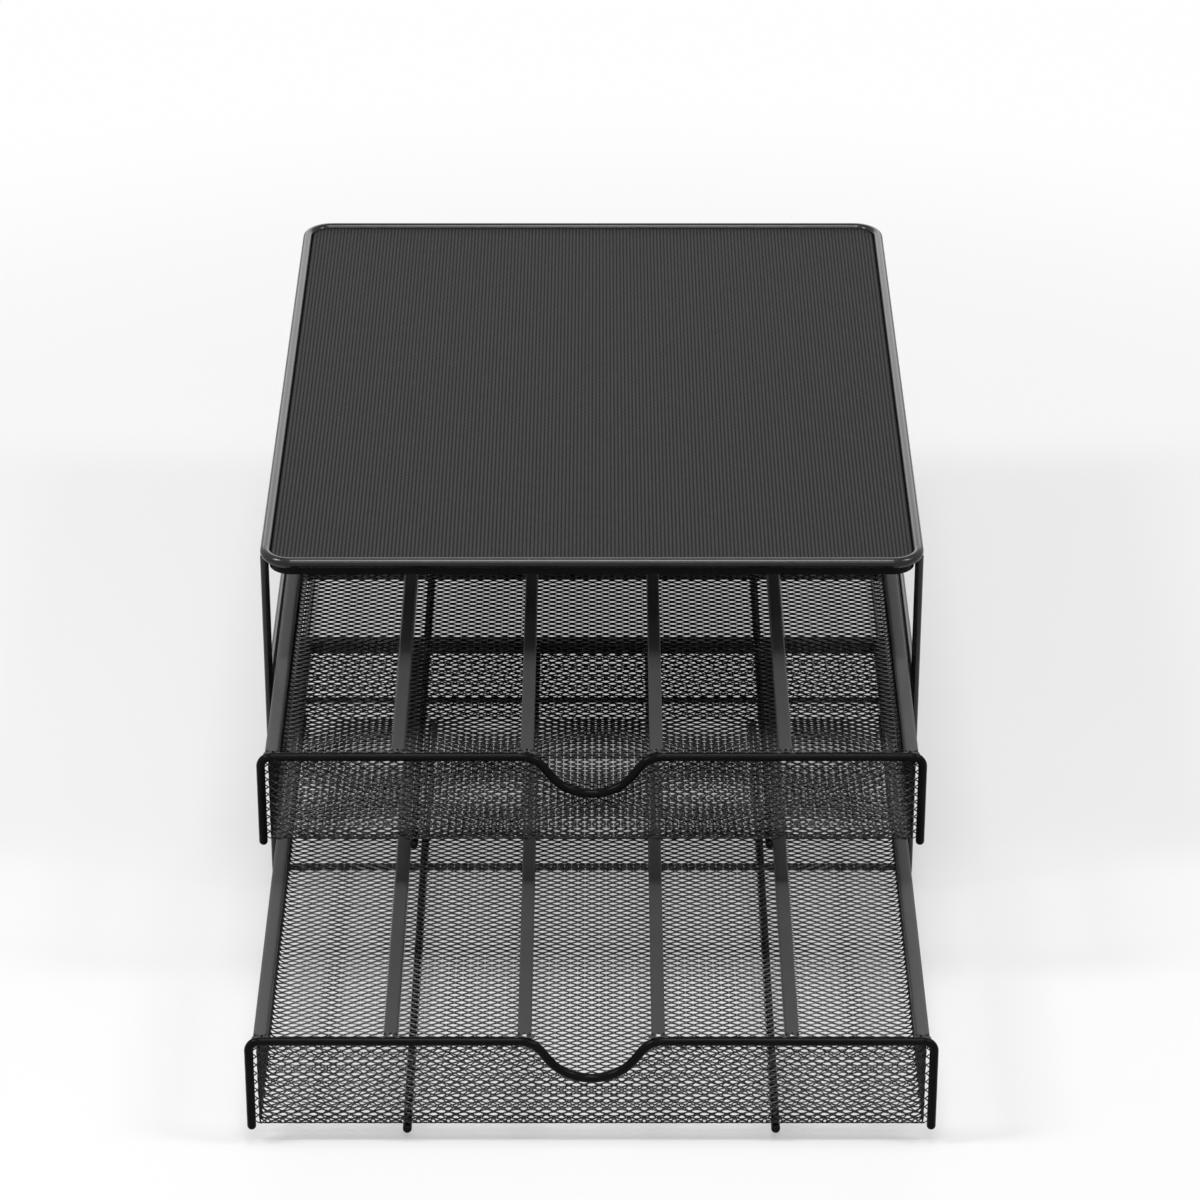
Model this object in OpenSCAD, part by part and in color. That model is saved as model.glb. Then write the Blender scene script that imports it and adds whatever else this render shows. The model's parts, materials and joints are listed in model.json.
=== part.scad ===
// Two-tier coffee pod drawer: a wire cabinet with a mat-topped shelf and two
// sliding mesh drawers. Z = 0 is the table, +Y points to the back, and the
// drawers stand part-open, as they do in use.

/* [Shelf] */
// Width over the shelf rim
cab_w = 310; // [270:2:340]
// Depth over the shelf rim
cab_d = 390; // [340:2:440]
// Height of the top of the shelf rim above the table
cab_h = 188; // [182:1:220]
// Diameter of the shelf's rim wire
rim_d = 5; // [4.5:0.5:6]
// Outer corner radius of the shelf rim
rim_corner = 15; // [12:1:24]
// Thickness of the anti-slip mat
mat_t = 2.5; // [1.5:0.5:3]
// How far the mat's top lies below the top of the rim
mat_drop = 1.8; // [0.6:0.2:2.4]
// Thickness of the shelf's sheet pan
pan_t = 1; // [0.8:0.1:1.5]
// Height of the pan's turned-down skirt
skirt_h = 4.2; // [3:0.2:8]

/* [Wire frame] */
// Diameter of the posts, rails and drawer wires
wire_d = 4; // [3:0.5:4]
// Diameter of the lower cross wires
low_cross_d = 3; // [2.5:0.5:3]
// Distance of the posts' centres from the front and back of the shelf
post_set = 13; // [12:1:24]
// Bend radius of the side frames at the table, on the wire's centre line
frame_bend = 12; // [8:1:20]
// Bend radius of the cradle under the upper drawer, on the centre line
cradle_bend = 6; // [4:0.5:8]
// Number of support wires under the shelf
support_count = 5; // [1, 3, 5]
// Spacing of the support wires
support_pitch = 69; // [40:1:72]
// Length of each rubber foot
foot_len = 18; // [10:1:30]

/* [Drawers] */
// Height of a drawer from the underside of its floor to its top wire
drawer_h = 47.8; // [45:0.2:51]
// Height of the lower drawer's floor above the table
low_floor_z = 8.4; // [8.4:0.1:12]
// Height of the upper drawer's floor above the table
high_floor_z = 82; // [76:0.1:92]
// How far the upper drawer is pulled out
upper_pull = 86; // [0:1:175]
// How far the lower drawer is pulled out
lower_pull = 208; // [0:1:300]
// Gap between a drawer's wires and the cabinet wires it slides past
slide_gap = 0.4; // [0.3:0.05:0.8]
// Gap between a drawer's sides and the posts
side_gap = 2; // [1:0.5:4]
// Bend radius of the front wire's upper corners, on the centre line
face_bend = 5; // [4:0.5:8]

/* [Finger notch] */
// Half the width of the dip in the front wire
notch_half = 32; // [28:1:38]
// Depth of the dip
notch_depth = 19.5; // [12:0.5:22]
// Radius of the two shoulders
shoulder_r = 12; // [8:1:14]
// Slope of the dip's flanks
notch_slope = 55; // [48:1:58]

/* [Mesh and channels] */
// Thickness of the expanded mesh
mesh_t = 1.2; // [0.8:0.1:1.4]
// Width of a mesh strand
strand = 1.6; // [1.2:0.1:2]
// Diamond of the upright panels, long way
cell_long = 14; // [12:1:20]
// Diamond of the upright panels, short way
cell_short = 10; // [9:0.25:12]
// Diamond of the floor, long way
floor_long = 34; // [32:1:40]
// Diamond of the floor, short way
floor_short = 24; // [23:1:28]
// Outer radius of the fold between the front panel and the floor
fold_r = 3; // [2.5:0.5:4]
// Width and height of the channel that edges a drawer
edge_w = 6; // [5:0.5:7]
// Number of dividers in a drawer
divider_count = 4; // [2, 4]
// Spacing of the dividers
divider_pitch = 59; // [54:1:60]
// Height of a divider channel
divider_h = 7; // [5:0.5:10]
// Thickness of the channels' sheet
channel_t = 1; // [0.8:0.1:1.2]
// Distance of the runner wires from the middle
runner_x = 82; // [60:1:84]

/* [Hidden] */

wire_fn = 32;
arc_fn = 96;
arc_steps = 6;
weld = 0.4;        // how deep a welded wire sits in the wire it meets
small_weld = 0.15; // the same for a wire under a sheet
post_weld = 0.6;   // and for a post under the rim
slip = 0.3;        // gap between the runners and the wires they slide on
stop_gap = 0.6;    // gap between a closed drawer and the stop wire
over = 1;          // how far a cut runs past what it cuts

black_gloss = [0.05, 0.05, 0.055];
black_mesh = [0.08, 0.08, 0.085];
charcoal = [0.22, 0.22, 0.23];
rubber = [0.12, 0.12, 0.12];

// Shelf
rim_z = cab_h - rim_d / 2;
mat_top = cab_h - mat_drop;
pan_top = mat_top - mat_t;
pan_gap = 0.2;
pan_inset = wire_d + pan_gap;   // the pan hangs just inside the posts
mat_gap = 0.4;
mat_inset = rim_d + mat_gap;    // the mat lies just inside the rim
support_z = pan_top - pan_t - wire_d / 2 + small_weld;

// Side frames
post_x = cab_w / 2 - wire_d / 2;
post_top = rim_z - rim_d / 2 + post_weld;
foot_wall = 1;
foot_slot = wire_d * 0.6;       // slot that snaps over the wire
rail_z = wire_d / 2 + foot_wall;
rail_drop = 20.2;               // side rails lie this far below a drawer's top
high_rail_z = high_floor_z + drawer_h - rail_drop;
low_rail_z = low_floor_z + drawer_h - rail_drop;

// Drawers, in a frame with y = 0 on the front wire and z = 0 under the floor
face_x = cab_w / 2 - wire_d;                   // centre of the front wire's bars
body_x = cab_w / 2 - wire_d - side_gap;        // outer face of the edge channels
face_z = drawer_h - wire_d / 2;
bar_drop = 0.8;                                // the bars reach this far below the floor
tip_z = wire_d / 2 - bar_drop;                 // centre of a bar's rounded lower end
face_set = post_set - wire_d - slide_gap;      // front wire's centre behind the shelf's front
saddle_t = 1.1;                                // thickness of the crimped saddles
saddle_r = wire_d / 2 + saddle_t;
saddle_wrap = wire_d / 4;                      // how far below the wire's middle they reach
body_d = cab_d - face_set - post_set - wire_d / 2 - stop_gap;
net_y = 0.4;                                   // front face of the front mesh
net_back = net_y + mesh_t;
divider_tops = face_z + wire_d / 2;
edge_drop = 0.4;                               // edgings lie this far below the dividers
edge_top = divider_tops - edge_drop;
net_top = edge_top - channel_t;
net_x = body_x - channel_t;                    // outer face of the side mesh
floor_x = net_x - mesh_t;
runner_z = small_weld - wire_d / 2;
runner_front = -0.2;                           // where the runners' noses end
bar_overlap = 1;                               // how far the front mesh reaches into the bars
tuck = 0.6;                                    // and into the top wire
face_border = 0.4;                             // unpierced edge that shows beside the wire

// Cross wires, a sliding gap below the runner wires
high_cross_z = high_floor_z + runner_z - wire_d - slip;
low_cross_z = low_floor_z + runner_z - wire_d / 2 - slip - low_cross_d / 2;
bend_end = post_set + frame_bend;              // where the side frames run straight
low_cross_set = bend_end + 5;
foot_set = bend_end + 20;

// The object's box, with its drawers as they stand, is centred on the origin
front_reach = max(0, max(upper_pull, lower_pull) - face_set + saddle_r);
front_y = -(cab_d - front_reach) / 2;
back_y = front_y + cab_d;
mid_y = (front_y + back_y) / 2;

// Bottom arc of the finger notch, from its depth, slope and shoulders
notch_flank = (notch_half * tan(notch_slope / 2) - notch_depth)
    / (cos(notch_slope) * tan(notch_slope / 2) - sin(notch_slope));
bottom_r = (notch_depth - notch_flank * sin(notch_slope)) / (1 - cos(notch_slope)) - shoulder_r;
notch_z = face_z - notch_depth;

function unit(v) = v / norm(v);

// Moves a shape so that its axes lie along side, up and along at a point
function placed(side, up, along, at) = [
    [side.x, up.x, along.x, at.x],
    [side.y, up.y, along.y, at.y],
    [side.z, up.z, along.z, at.z],
    [0, 0, 0, 1]
];

// Angle that a path turns by at its point i, 0 at an end
function turn(path, i) = i == 0 || i == len(path) - 1 ? 0
    : acos(unit(path[i][0] - path[i - 1][0]) * unit(path[i + 1][0] - path[i][0]));

// Length that the bend at point i takes from each run beside it
function bend_len(path, i) = path[i][1] * tan(turn(path, i) / 2);

// Straight wire between two points
module wire_run(from, to, d) {
    along = unit(to - from);
    side = unit(cross(abs(along.x) < 0.9 ? [1, 0, 0] : [0, 1, 0], along));
    multmatrix(placed(side, cross(along, side), along, from))
        cylinder(d = d, h = norm(to - from), $fn = wire_fn);
}

// Bent wire along a path of [point, bend radius] pairs
module bent_wire(path, d) {
    for (i = [0 : len(path) - 2]) {
        along = unit(path[i + 1][0] - path[i][0]);
        from = path[i][0] + along * bend_len(path, i);
        to = path[i + 1][0] - along * bend_len(path, i + 1);
        if (norm(to - from) > 0.01) wire_run(from, to, d);
    }
    for (i = [1 : 1 : len(path) - 2]) {
        come = unit(path[i][0] - path[i - 1][0]);
        go = unit(path[i + 1][0] - path[i][0]);
        r = path[i][1];
        middle = path[i][0] + unit(go - come) * r / cos(turn(path, i) / 2);
        out = unit(path[i][0] - come * bend_len(path, i) - middle);
        multmatrix(placed(out, come, cross(out, come), middle))
            rotate_extrude(angle = turn(path, i), $fn = arc_fn)
                translate([r, 0])
                    circle(d = d, $fn = wire_fn);
    }
}

// Extrudes an x-z outline from y0 to y1
module along_y(y0, y1) {
    translate([0, y1, 0])
        rotate([90, 0, 0])
            linear_extrude(y1 - y0)
                children();
}

// Extrudes a y-z outline from x0 to x1
module along_x(x0, x1) {
    translate([x0, 0, 0])
        rotate([90, 0, 90])
            linear_extrude(x1 - x0)
                children();
}

// Rounded rectangle, set in from the shelf's outline
module shelf_outline(inset) {
    r = rim_corner - inset;
    w = cab_w - 2 * inset;
    d = cab_d - 2 * inset;
    translate([-w / 2 + r, r + inset]) square([w - 2 * r, d - 2 * r]);
    for (x = [-w / 2, w / 2 - r]) translate([x, r + inset]) square([r, d - 2 * r]);
    for (y = [inset, inset + d - r]) translate([-w / 2 + r, y]) square([w - 2 * r, r]);
    for (x = [-1, 1], y = [inset + r, inset + d - r])
        translate([x * (w / 2 - r), y]) circle(r = r, $fn = arc_fn);
}

// One diamond opening, with a strand's width between it and its neighbours
module diamond(long, short) {
    reach = 1 - strand * norm([long, short]) / (long * short);
    polygon([[-long / 2, 0], [0, -short / 2], [long / 2, 0], [0, short / 2]] * reach);
}

// Middles of a lattice of diamonds in w by h, each as [x, y] from its middle
function lattice(w, h, long, short) = [
    for (row = [-floor(h / short) : floor(h / short)],
         col = [-floor(w / long) : floor(w / long)])
        let (x = (col + (row % 2 == 0 ? 0 : 0.5)) * long, y = row * short / 2)
            if (abs(x) < w / 2 && abs(y) < h / 2) [x, y]
];

// Flat expanded-mesh panel, w by h about its middle, cut diamonds and all
module net(w, h, long, short) {
    difference() {
        square([w, h], center = true);
        intersection() {
            square([w - 2 * strand, h - 2 * strand], center = true);
            for (at = lattice(w, h, long, short)) translate(at) diamond(long, short);
        }
    }
}

// Area inside the front wire, o below the middle of its top and margin in from its bars
module face_outline(o, margin) {
    half = face_x - wire_d / 2 - margin;
    foot = fold_r + max(0, margin);
    b = bottom_r + o;
    r = shoulder_r - o;
    right = concat(
        [for (a = [0 : notch_slope / arc_steps : notch_slope])
            [b * sin(a), notch_z + bottom_r - b * cos(a)]],
        [for (a = [notch_slope : -notch_slope / arc_steps : 0])
            [notch_half - r * sin(a), face_z - shoulder_r + r * cos(a)]],
        [[half - face_bend, face_z - o], [half, face_z - o - face_bend], [half, foot]]
    );
    left = [for (i = [len(right) - 1 : -1 : 1]) [-right[i].x, right[i].y]];
    polygon(concat(right, left));
}

// ---- Shelf ----

module shelf_rim() {
    x = (cab_w - rim_d) / 2;
    y0 = front_y + rim_d / 2;
    y1 = back_y - rim_d / 2;
    bend = rim_corner - rim_d / 2;
    color(black_gloss)
        bent_wire([
            [[0, y0, rim_z], 0],
            [[x, y0, rim_z], bend],
            [[x, y1, rim_z], bend],
            [[-x, y1, rim_z], bend],
            [[-x, y0, rim_z], bend],
            [[0, y0, rim_z], 0]
        ], rim_d);
}

module shelf_pan() {
    color(black_gloss)
        translate([0, front_y, 0])
            difference() {
                translate([0, 0, pan_top - pan_t - skirt_h])
                    linear_extrude(skirt_h + pan_t) shelf_outline(pan_inset);
                translate([0, 0, pan_top - pan_t - skirt_h - over])
                    linear_extrude(skirt_h + over) shelf_outline(pan_inset + pan_t);
            }
}

module shelf_mat() {
    color(charcoal)
        translate([0, front_y, pan_top])
            linear_extrude(mat_t) shelf_outline(mat_inset);
}

module shelf_support(i) {
    x = (i - (support_count + 1) / 2) * support_pitch;
    reach = pan_inset + pan_t;
    if (i <= support_count)
        color(black_gloss)
            wire_run([x, front_y + reach, support_z], [x, back_y - reach, support_z], wire_d);
}

// ---- Side frames and the wires between them ----

// side is -1 for the left and 1 for the right
module side_frame(side) {
    x = side * post_x;
    y0 = front_y + post_set;
    y1 = back_y - post_set;
    color(black_gloss)
        bent_wire([
            [[x, y0, post_top], 0],
            [[x, y0, rail_z], frame_bend],
            [[x, y1, rail_z], frame_bend],
            [[x, y1, post_top], 0]
        ], wire_d);
}

module side_rail(side, z) {
    reach = post_set + wire_d / 2 - weld;
    color(black_gloss)
        wire_run([side * post_x, front_y + reach, z], [side * post_x, back_y - reach, z], wire_d);
}

module cross_wire(y, z, d) {
    reach = post_x - wire_d / 2 + weld;
    color(black_gloss)
        wire_run([-reach, y, z], [reach, y, z], d);
}

// Wire that hangs from the side rails and carries the upper drawer in the middle
module cradle() {
    top = high_rail_z - wire_d / 2 + weld;
    color(black_gloss)
        bent_wire([
            [[-post_x, mid_y, top], 0],
            [[-post_x, mid_y, high_cross_z], cradle_bend],
            [[post_x, mid_y, high_cross_z], cradle_bend],
            [[post_x, mid_y, top], 0]
        ], wire_d);
}

// Rubber sleeve snapped on to a side frame from below, cut flat at the table
module foot(side, y) {
    color(rubber)
        translate([side * post_x, 0, rail_z])
            along_y(y - foot_len / 2, y + foot_len / 2)
                difference() {
                    union() {
                        circle(r = rail_z, $fn = arc_fn);
                        translate([-rail_z, -rail_z]) square([2 * rail_z, rail_z]);
                    }
                    circle(d = wire_d, $fn = wire_fn);
                    translate([-foot_slot / 2, 0]) square([foot_slot, 2 * rail_z]);
                }
}

// ---- Drawers ----

// Places a drawer's piece: tier is "upper" or "lower"
module in_drawer(tier) {
    upper = tier == "upper";
    y = front_y + face_set - (upper ? upper_pull : lower_pull);
    translate([0, y, upper ? high_floor_z : low_floor_z])
        children();
}

// One bent wire: two side bars with rounded lower ends, and a top with a finger dip
module front_wire(tier) {
    shoulder_x = notch_half - shoulder_r * tan(notch_slope / 2);
    flanks_meet_z = face_z - shoulder_x * tan(notch_slope);
    color(black_gloss)
        in_drawer(tier) {
            bent_wire([
                [[-face_x, 0, tip_z], 0],
                [[-face_x, 0, face_z], face_bend],
                [[-shoulder_x, 0, face_z], shoulder_r],
                [[0, 0, flanks_meet_z], bottom_r],
                [[shoulder_x, 0, face_z], shoulder_r],
                [[face_x, 0, face_z], face_bend],
                [[face_x, 0, tip_z], 0]
            ], wire_d);
            for (side = [-1, 1])
                translate([side * face_x, 0, tip_z]) sphere(d = wire_d, $fn = wire_fn);
        }
}

// Front panel of the basket: a net with the wire's notch, folded under at its foot
module front_mesh(tier) {
    color(black_mesh)
        in_drawer(tier) {
            along_y(net_y, net_back)
                difference() {
                    face_outline(wire_d / 2 - tuck, -bar_overlap);
                    intersection() {
                        face_outline(wire_d / 2 + face_border, face_border);
                        translate([0, (face_z + fold_r) / 2])
                            for (at = lattice(2 * face_x, face_z, cell_long, cell_short))
                                translate(at) diamond(cell_long, cell_short);
                    }
                }
            along_x(-floor_x, floor_x)
                translate([net_y + fold_r, fold_r])
                    difference() {
                        circle(r = fold_r, $fn = arc_fn);
                        circle(r = fold_r - mesh_t, $fn = arc_fn);
                        translate([-2 * fold_r, 0]) square(4 * fold_r);
                        translate([0, -2 * fold_r]) square(4 * fold_r);
                    }
        }
}

module floor_mesh(tier) {
    y0 = net_y + fold_r;
    y1 = body_d - channel_t - mesh_t;
    color(black_mesh)
        in_drawer(tier)
            translate([0, (y0 + y1) / 2, 0])
                linear_extrude(mesh_t)
                    net(2 * floor_x, y1 - y0, floor_long, floor_short);
}

// Side panel: its diamonds stand upright, as where the floor's sheet is folded up
module side_mesh(tier, side) {
    y1 = body_d - channel_t;
    x = side < 0 ? -net_x : floor_x;
    color(black_mesh)
        in_drawer(tier)
            along_x(x, x + mesh_t)
                translate([(net_back + y1) / 2, net_top / 2])
                    rotate(90)
                        net(net_top, y1 - net_back, cell_long, cell_short);
}

module back_mesh(tier) {
    y1 = body_d - channel_t;
    color(black_mesh)
        in_drawer(tier)
            along_y(y1 - mesh_t, y1)
                translate([0, net_top / 2])
                    net(2 * floor_x, net_top, cell_long, cell_short);
}

// Section of an edging: an upside-down U, w wide and h high, with its top on y = 0
module channel(w, h) {
    difference() {
        translate([0, -h]) square([w, h]);
        translate([channel_t, -h - over]) square([w - 2 * channel_t, h + over - channel_t]);
    }
}

// Crimped end of a channel, hooked over the front wire from x0 to x1
module saddle(x0, x1) {
    along_x(x0, x1)
        translate([0, face_z])
            difference() {
                circle(r = saddle_r, $fn = arc_fn);
                circle(d = wire_d, $fn = wire_fn);
                translate([-2 * saddle_r, -4 * saddle_r - saddle_wrap]) square(4 * saddle_r);
            }
}

// Side edging: a channel whose inner half hooks over the straight of the front wire
module side_edge(tier, side) {
    x = side < 0 ? -body_x : body_x - edge_w;
    hook_x = side < 0 ? -body_x + edge_w / 2 : body_x - edge_w;
    color(black_gloss)
        in_drawer(tier) {
            along_y(wire_d / 2 - weld, body_d)
                translate([x, edge_top]) channel(edge_w, edge_w);
            saddle(hook_x, hook_x + edge_w / 2);
        }
}

module back_edge(tier) {
    reach = body_x - edge_w;
    color(black_gloss)
        in_drawer(tier)
            along_x(-reach, reach)
                translate([body_d - edge_w, edge_top]) channel(edge_w, edge_w);
}

// Divider channel with a saddle that hooks over the front wire
module divider(tier, i) {
    x = (i - (divider_count + 1) / 2) * divider_pitch;
    if (i <= divider_count)
        color(black_gloss)
            in_drawer(tier) {
                along_y(wire_d / 2, body_d - edge_w)
                    translate([x - edge_w / 2, divider_tops]) channel(edge_w, divider_h);
                saddle(x - edge_w / 2, x + edge_w / 2);
            }
}

// Straight wire under the floor, with rounded ends; the drawer slides on it
module runner(tier, side) {
    y0 = runner_front + wire_d / 2;
    y1 = body_d - wire_d;
    color(black_gloss)
        in_drawer(tier) {
            wire_run([side * runner_x, y0, runner_z], [side * runner_x, y1, runner_z], wire_d);
            for (y = [y0, y1])
                translate([side * runner_x, y, runner_z]) sphere(d = wire_d, $fn = wire_fn);
        }
}

shelf_rim();
shelf_pan();
shelf_mat();
for (i = [1 : 5])
    shelf_support(i);
side_frame(-1);  // left_side_frame
side_frame(1);  // right_side_frame
side_rail(-1, high_rail_z);  // upper_left_rail
side_rail(1, high_rail_z);  // upper_right_rail
side_rail(-1, low_rail_z);  // lower_left_rail
side_rail(1, low_rail_z);  // lower_right_rail
cross_wire(front_y + post_set, high_cross_z, wire_d);  // upper_front_cross_wire
cradle();  // upper_cradle
cross_wire(back_y - post_set, high_cross_z, wire_d);  // upper_back_cross_wire
cross_wire(front_y + low_cross_set, low_cross_z, low_cross_d);  // lower_front_cross_wire
cross_wire(mid_y, low_cross_z, low_cross_d);  // lower_middle_cross_wire
cross_wire(back_y - low_cross_set, low_cross_z, low_cross_d);  // lower_back_cross_wire
cross_wire(back_y - post_set, high_rail_z, wire_d);  // upper_stop_wire
cross_wire(back_y - post_set, low_rail_z, wire_d);  // lower_stop_wire
foot(-1, front_y + foot_set);  // front_left_foot
foot(1, front_y + foot_set);  // front_right_foot
foot(-1, back_y - foot_set);  // back_left_foot
foot(1, back_y - foot_set);  // back_right_foot
for (tier = ["upper", "lower"]) {
    front_wire(tier);
    front_mesh(tier);
    floor_mesh(tier);
    side_mesh(tier, -1);
    side_mesh(tier, 1);
    back_mesh(tier);
    side_edge(tier, -1);
    side_edge(tier, 1);
    back_edge(tier);
    for (i = [1 : 4])
        divider(tier, i);
    runner(tier, -1);
    runner(tier, 1);
}
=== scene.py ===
"""Builds the looks of a two-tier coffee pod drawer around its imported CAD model.

The cabinet's wires, sheet pan and mat are dressed as they come. The drawers' walls
get real expanded metal, and their channels get formed and crimped ends.
"""

import json
import logging
import math
from dataclasses import dataclass, field
from enum import Enum
from typing import Any, Callable, Mapping, Optional, Sequence, Union

import bpy
import numpy as np
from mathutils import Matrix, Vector

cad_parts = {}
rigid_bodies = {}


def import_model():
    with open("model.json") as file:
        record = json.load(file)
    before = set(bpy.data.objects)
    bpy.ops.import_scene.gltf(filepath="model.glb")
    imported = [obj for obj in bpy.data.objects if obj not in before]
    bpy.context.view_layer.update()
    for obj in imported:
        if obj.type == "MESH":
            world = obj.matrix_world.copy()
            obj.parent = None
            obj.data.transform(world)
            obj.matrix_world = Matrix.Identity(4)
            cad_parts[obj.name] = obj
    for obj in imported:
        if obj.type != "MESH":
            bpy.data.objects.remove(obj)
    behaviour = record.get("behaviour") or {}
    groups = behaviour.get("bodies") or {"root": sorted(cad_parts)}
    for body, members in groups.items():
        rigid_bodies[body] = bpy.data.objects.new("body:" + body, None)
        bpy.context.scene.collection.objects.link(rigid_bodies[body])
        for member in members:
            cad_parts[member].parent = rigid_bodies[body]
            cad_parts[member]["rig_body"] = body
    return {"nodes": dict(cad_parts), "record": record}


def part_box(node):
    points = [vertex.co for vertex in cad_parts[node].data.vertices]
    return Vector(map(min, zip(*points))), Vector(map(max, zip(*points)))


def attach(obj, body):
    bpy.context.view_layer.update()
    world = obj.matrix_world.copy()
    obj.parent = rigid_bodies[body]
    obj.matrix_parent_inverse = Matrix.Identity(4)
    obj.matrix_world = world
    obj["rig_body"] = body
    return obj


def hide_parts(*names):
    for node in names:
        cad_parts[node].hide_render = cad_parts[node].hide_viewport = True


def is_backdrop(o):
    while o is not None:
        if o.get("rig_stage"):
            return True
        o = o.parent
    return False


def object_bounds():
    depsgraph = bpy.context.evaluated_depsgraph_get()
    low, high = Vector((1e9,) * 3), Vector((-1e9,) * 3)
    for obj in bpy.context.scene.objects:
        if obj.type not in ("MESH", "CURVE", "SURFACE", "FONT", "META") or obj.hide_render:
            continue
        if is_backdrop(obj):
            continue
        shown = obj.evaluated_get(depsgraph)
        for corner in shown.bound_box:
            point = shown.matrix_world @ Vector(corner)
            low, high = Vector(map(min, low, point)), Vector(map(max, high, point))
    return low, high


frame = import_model()

LOG = logging.getLogger("pod_drawer")
MM = 0.001

Array = np.ndarray
Triple = tuple[float, float, float]
WHITE = (1.0, 1.0, 1.0, 1.0)

# Edges that turn by more than this many degrees stay crisp.
CAD_CREASE = 32.0
STRAND_CREASE = 30.0
EDGING_CREASE = 35.0
DIVIDER_CREASE = 38.0
WELD_CREASE = 60.0


# ---------------------------------------------------------------- shader maths


class Signal:
    """A number or colour in a material: one output socket, with Python's operators."""

    def __init__(self, sheet: "Shader", socket: bpy.types.NodeSocket) -> None:
        """Wraps an output socket of the shader sheet it belongs to."""
        self.sheet = sheet
        self.socket = socket

    def _math(self, operation: str, *values: Any, clamp: bool = False) -> "Signal":
        """Adds a Math node.

        Args:
            operation: the Math node's operation.
            values: the node's inputs in order, each a number or a Signal.
            clamp: whether the result is kept between 0 and 1.

        Returns:
            The node's result.
        """
        return self.sheet.add(
            "ShaderNodeMath",
            {"operation": operation, "use_clamp": clamp},
            dict(enumerate(values)),
        )

    def __add__(self, other: Any) -> "Signal":
        """Sum."""
        return self._math("ADD", self, other)

    __radd__ = __add__

    def __sub__(self, other: Any) -> "Signal":
        """Difference."""
        return self._math("SUBTRACT", self, other)

    def __rsub__(self, other: Any) -> "Signal":
        """Difference, reflected, as in 1 - mask."""
        return self._math("SUBTRACT", other, self)

    def __mul__(self, other: Any) -> "Signal":
        """Product."""
        return self._math("MULTIPLY", self, other)

    __rmul__ = __mul__

    def __pow__(self, other: Any) -> "Signal":
        """Power."""
        return self._math("POWER", self, other)

    def __rpow__(self, other: Any) -> "Signal":
        """Power, reflected."""
        return self._math("POWER", other, self)

    def clamped(self) -> "Signal":
        """The value kept between 0 and 1."""
        return self._math("ADD", self, 0.0, clamp=True)

    def fraction(self) -> "Signal":
        """What is left after the whole number."""
        return self._math("FRACT", self)

    def floor(self) -> "Signal":
        """The whole number below."""
        return self._math("FLOOR", self)

    def absolute(self) -> "Signal":
        """The value without its sign."""
        return self._math("ABSOLUTE", self)

    def larger(self, other: Any) -> "Signal":
        """The larger of two values."""
        return self._math("MAXIMUM", self, other)

    def ramp(self, low: float, high: float) -> "Signal":
        """A smooth step.

        Args:
            low: the value at which the step is 0.
            high: the value at which the step is 1.

        Returns:
            The step's height, from 0 to 1.
        """
        return self.sheet.add(
            "ShaderNodeMapRange",
            {"interpolation_type": "SMOOTHSTEP"},
            {"Value": self, "From Min": low, "From Max": high, "To Min": 0.0, "To Max": 1.0},
        )


class Shader:
    """A node tree with one method that adds any node."""

    def __init__(self, tree: bpy.types.NodeTree) -> None:
        """Starts from an empty tree."""
        self.tree = tree
        tree.nodes.clear()

    def add(
        self,
        kind: str,
        settings: Optional[Mapping[str, Any]] = None,
        inputs: Optional[Mapping[Union[str, int], Any]] = None,
        output: Union[str, int] = 0,
    ) -> Signal:
        """Adds a node.

        Args:
            kind: the node's type.
            settings: its properties, set before its sockets.
            inputs: what its sockets hold, each a plain value or a Signal.
            output: the socket that is wanted from it.

        Returns:
            That socket as a Signal.
        """
        node = self.tree.nodes.new(kind)
        for name, value in (settings or {}).items():
            setattr(node, name, value)
        for name, value in (inputs or {}).items():
            if isinstance(value, Signal):
                self.tree.links.new(value.socket, node.inputs[name])
            elif value is not None:
                node.inputs[name].default_value = value
        return Signal(self, node.outputs[output] if node.outputs else None)

    def place(self) -> Signal:
        """Where a point is on its piece, in metres."""
        return self.add("ShaderNodeTexCoord", output="Object")

    def axes(self, vector: Signal) -> tuple[Signal, Signal, Signal]:
        """Takes a vector apart.

        Args:
            vector: the vector.

        Returns:
            Its x, y and z.
        """
        first = self.add("ShaderNodeSeparateXYZ", inputs={0: vector})
        outputs = first.socket.node.outputs
        return first, Signal(self, outputs[1]), Signal(self, outputs[2])

    def noise(self, where: Signal, per_metre: float, detail: float = 3.0) -> Signal:
        """Smooth noise from 0 to 1.

        Args:
            where: the coordinates it is read at.
            per_metre: how many patches fit along a metre.
            detail: how many finer layers it has.

        Returns:
            The noise's height.
        """
        return self.add(
            "ShaderNodeTexNoise",
            {"noise_dimensions": "3D"},
            {"Vector": where, "Scale": per_metre, "Detail": detail},
        )

    def mix(self, factor: Any, low: Any, high: Any) -> Signal:
        """A colour between two others."""
        settings = {"data_type": "RGBA"}
        return self.add("ShaderNodeMix", settings, {0: factor, 6: low, 7: high}, output=2)


class Slot(Enum):
    """The record's material slots."""

    FRAME_WIRE = "frame_wire"
    SHEET = "sheet"
    MAT = "mat"
    FOOT = "foot"
    DRAWER_WIRE = "drawer_wire"
    MESH = "mesh"
    CHANNEL = "channel"


def colour(value: Sequence[float]) -> tuple[float, float, float, float]:
    """An opaque colour from three linear numbers."""
    return (value[0], value[1], value[2], 1.0)


def blank_material(name: str) -> tuple[bpy.types.Material, Shader]:
    """Makes a material whose node tree is still empty.

    Args:
        name: the material's name.

    Returns:
        The material, and its node tree.
    """
    material = bpy.data.materials.new(name)
    material.use_nodes = True
    return material, Shader(material.node_tree)


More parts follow.
